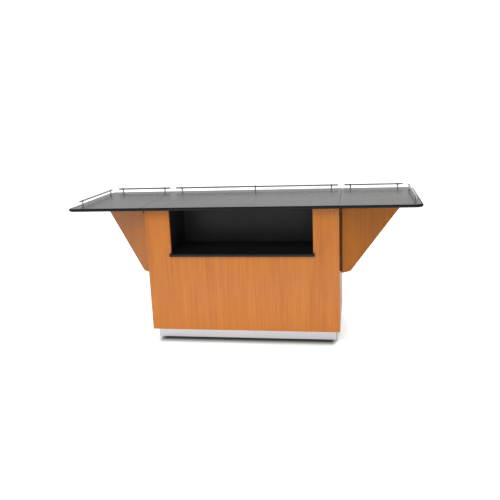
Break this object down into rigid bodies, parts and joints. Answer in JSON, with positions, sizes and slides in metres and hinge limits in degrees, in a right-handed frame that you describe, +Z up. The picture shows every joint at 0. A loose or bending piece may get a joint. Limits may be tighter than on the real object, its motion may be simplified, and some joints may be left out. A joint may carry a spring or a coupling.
{
  "type": "drop-leaf service table",
  "caption": "Mobile wood-laminate service table with an open niche, black top, drop leaves on swing brackets, gallery rails and rear doors.",
  "frame": {"origin": "on the floor under the middle of the top", "axes": "+X along the table's length, +Y to the back (the doors), +Z up; the guests' side with the niche faces -Y"},
  "size_m": [2.286, 0.8, 0.976],
  "materials": {
    "wood_laminate": "satin cherry wood-grain laminate",
    "black_laminate": "satin black laminate on board",
    "black_board": "smooth black laminate on board",
    "white_board": "matt white melamine on board",
    "black_edging": "soft black bullnose edging",
    "chrome": "bright chrome",
    "skirt_steel": "satin stainless sheet",
    "black_steel": "black painted steel",
    "zinc_steel": "bright zinc plate",
    "hub_plastic": "moulded dark nylon",
    "rubber": "grey rubber tread"
  },
  "bodies": {
    "cabinet": {"front_panel": "wood_laminate", "left_end_panel": "wood_laminate", "right_end_panel": "wood_laminate", "bottom_deck": "white_board", "rear_header": "wood_laminate", "niche_floor": "black_board", "niche_back": "black_board", "left_niche_wall": "black_board", "right_niche_wall": "black_board", "storage_shelf": "white_board", "shelf_pins": "zinc_steel", "shelf_nosing": "black_edging", "skirt_front": "skirt_steel", "skirt_rear": "skirt_steel", "skirt_ends": "skirt_steel", "centre_top": "black_laminate", "centre_edging": "black_edging", "centre_rail": "chrome", "centre_rail_posts": "chrome", "bracket_hinge_plates": "black_steel", "leaf_hinge_plates": "black_steel", "door_hinge_plates": "zinc_steel", "door_catches": "hub_plastic", "caster_plates": "zinc_steel"},
    "right_leaf": {"right_leaf_board": "black_laminate", "right_leaf_edging": "black_edging", "right_leaf_rails": "chrome", "right_leaf_rail_posts": "chrome", "right_leaf_hinge_straps": "black_steel"},
    "right_bracket": {"right_bracket": "wood_laminate", "right_bracket_hinge_leaf": "black_steel"},
    "right_door": {"right_door": "wood_laminate", "right_door_pull": "chrome", "right_door_hinge_leaves": "zinc_steel"},
    "left_leaf": {"left_leaf_board": "black_laminate", "left_leaf_edging": "black_edging", "left_leaf_rails": "chrome", "left_leaf_rail_posts": "chrome", "left_leaf_hinge_straps": "black_steel"},
    "left_bracket": {"left_bracket": "wood_laminate", "left_bracket_hinge_leaf": "black_steel"},
    "left_door": {"left_door": "wood_laminate", "left_door_pull": "chrome", "left_door_hinge_leaves": "zinc_steel"},
    "front_right_swivel": {"front_right_fork": "zinc_steel", "front_right_axle": "zinc_steel"},
    "front_right_wheel": {"front_right_hub": "hub_plastic", "front_right_tyre": "rubber"},
    "front_left_swivel": {"front_left_fork": "zinc_steel", "front_left_axle": "zinc_steel"},
    "front_left_wheel": {"front_left_hub": "hub_plastic", "front_left_tyre": "rubber"},
    "back_right_swivel": {"back_right_fork": "zinc_steel", "back_right_axle": "zinc_steel"},
    "back_right_wheel": {"back_right_hub": "hub_plastic", "back_right_tyre": "rubber"},
    "back_left_swivel": {"back_left_fork": "zinc_steel", "back_left_axle": "zinc_steel"},
    "back_left_wheel": {"back_left_hub": "hub_plastic", "back_left_tyre": "rubber"}
  },
  "joints": [
    {"name": "right_leaf_lift", "type": "hinge", "parent": "cabinet", "child": "right_leaf", "pos_m": [0.6395, 0, 0.892], "axis": [0, -1, 0], "range_deg": [0, 3]},
    {"name": "right_bracket_swing", "type": "hinge", "parent": "cabinet", "child": "right_bracket", "pos_m": [0.64, -0.246, 0.698], "axis": [0, 0, 1], "range_deg": [-40, 50]},
    {"name": "right_door_swing", "type": "hinge", "parent": "cabinet", "child": "right_door", "pos_m": [0.6145, 0.326, 0.505], "axis": [0, 0, -1], "range_deg": [0, 175]},
    {"name": "left_leaf_lift", "type": "hinge", "parent": "cabinet", "child": "left_leaf", "pos_m": [-0.6395, 0, 0.892], "axis": [0, 1, 0], "range_deg": [0, 3]},
    {"name": "left_bracket_swing", "type": "hinge", "parent": "cabinet", "child": "left_bracket", "pos_m": [-0.64, -0.246, 0.698], "axis": [0, 0, -1], "range_deg": [-40, 50]},
    {"name": "left_door_swing", "type": "hinge", "parent": "cabinet", "child": "left_door", "pos_m": [-0.6145, 0.326, 0.505], "axis": [0, 0, 1], "range_deg": [0, 175]},
    {"name": "front_right_swivel", "type": "hinge", "parent": "cabinet", "child": "front_right_swivel", "pos_m": [0.48, -0.165, 0.14], "axis": [0, 0, 1], "continuous": true},
    {"name": "front_right_roll", "type": "hinge", "parent": "front_right_swivel", "child": "front_right_wheel", "pos_m": [0.516, -0.165, 0.0625], "axis": [0, 1, 0], "continuous": true},
    {"name": "front_left_swivel", "type": "hinge", "parent": "cabinet", "child": "front_left_swivel", "pos_m": [-0.48, -0.165, 0.14], "axis": [0, 0, 1], "continuous": true},
    {"name": "front_left_roll", "type": "hinge", "parent": "front_left_swivel", "child": "front_left_wheel", "pos_m": [-0.444, -0.165, 0.0625], "axis": [0, 1, 0], "continuous": true},
    {"name": "back_right_swivel", "type": "hinge", "parent": "cabinet", "child": "back_right_swivel", "pos_m": [0.48, 0.165, 0.14], "axis": [0, 0, 1], "continuous": true},
    {"name": "back_right_roll", "type": "hinge", "parent": "back_right_swivel", "child": "back_right_wheel", "pos_m": [0.516, 0.165, 0.0625], "axis": [0, 1, 0], "continuous": true},
    {"name": "back_left_swivel", "type": "hinge", "parent": "cabinet", "child": "back_left_swivel", "pos_m": [-0.48, 0.165, 0.14], "axis": [0, 0, 1], "continuous": true},
    {"name": "back_left_roll", "type": "hinge", "parent": "back_left_swivel", "child": "back_left_wheel", "pos_m": [-0.444, 0.165, 0.0625], "axis": [0, 1, 0], "continuous": true}
  ]
}
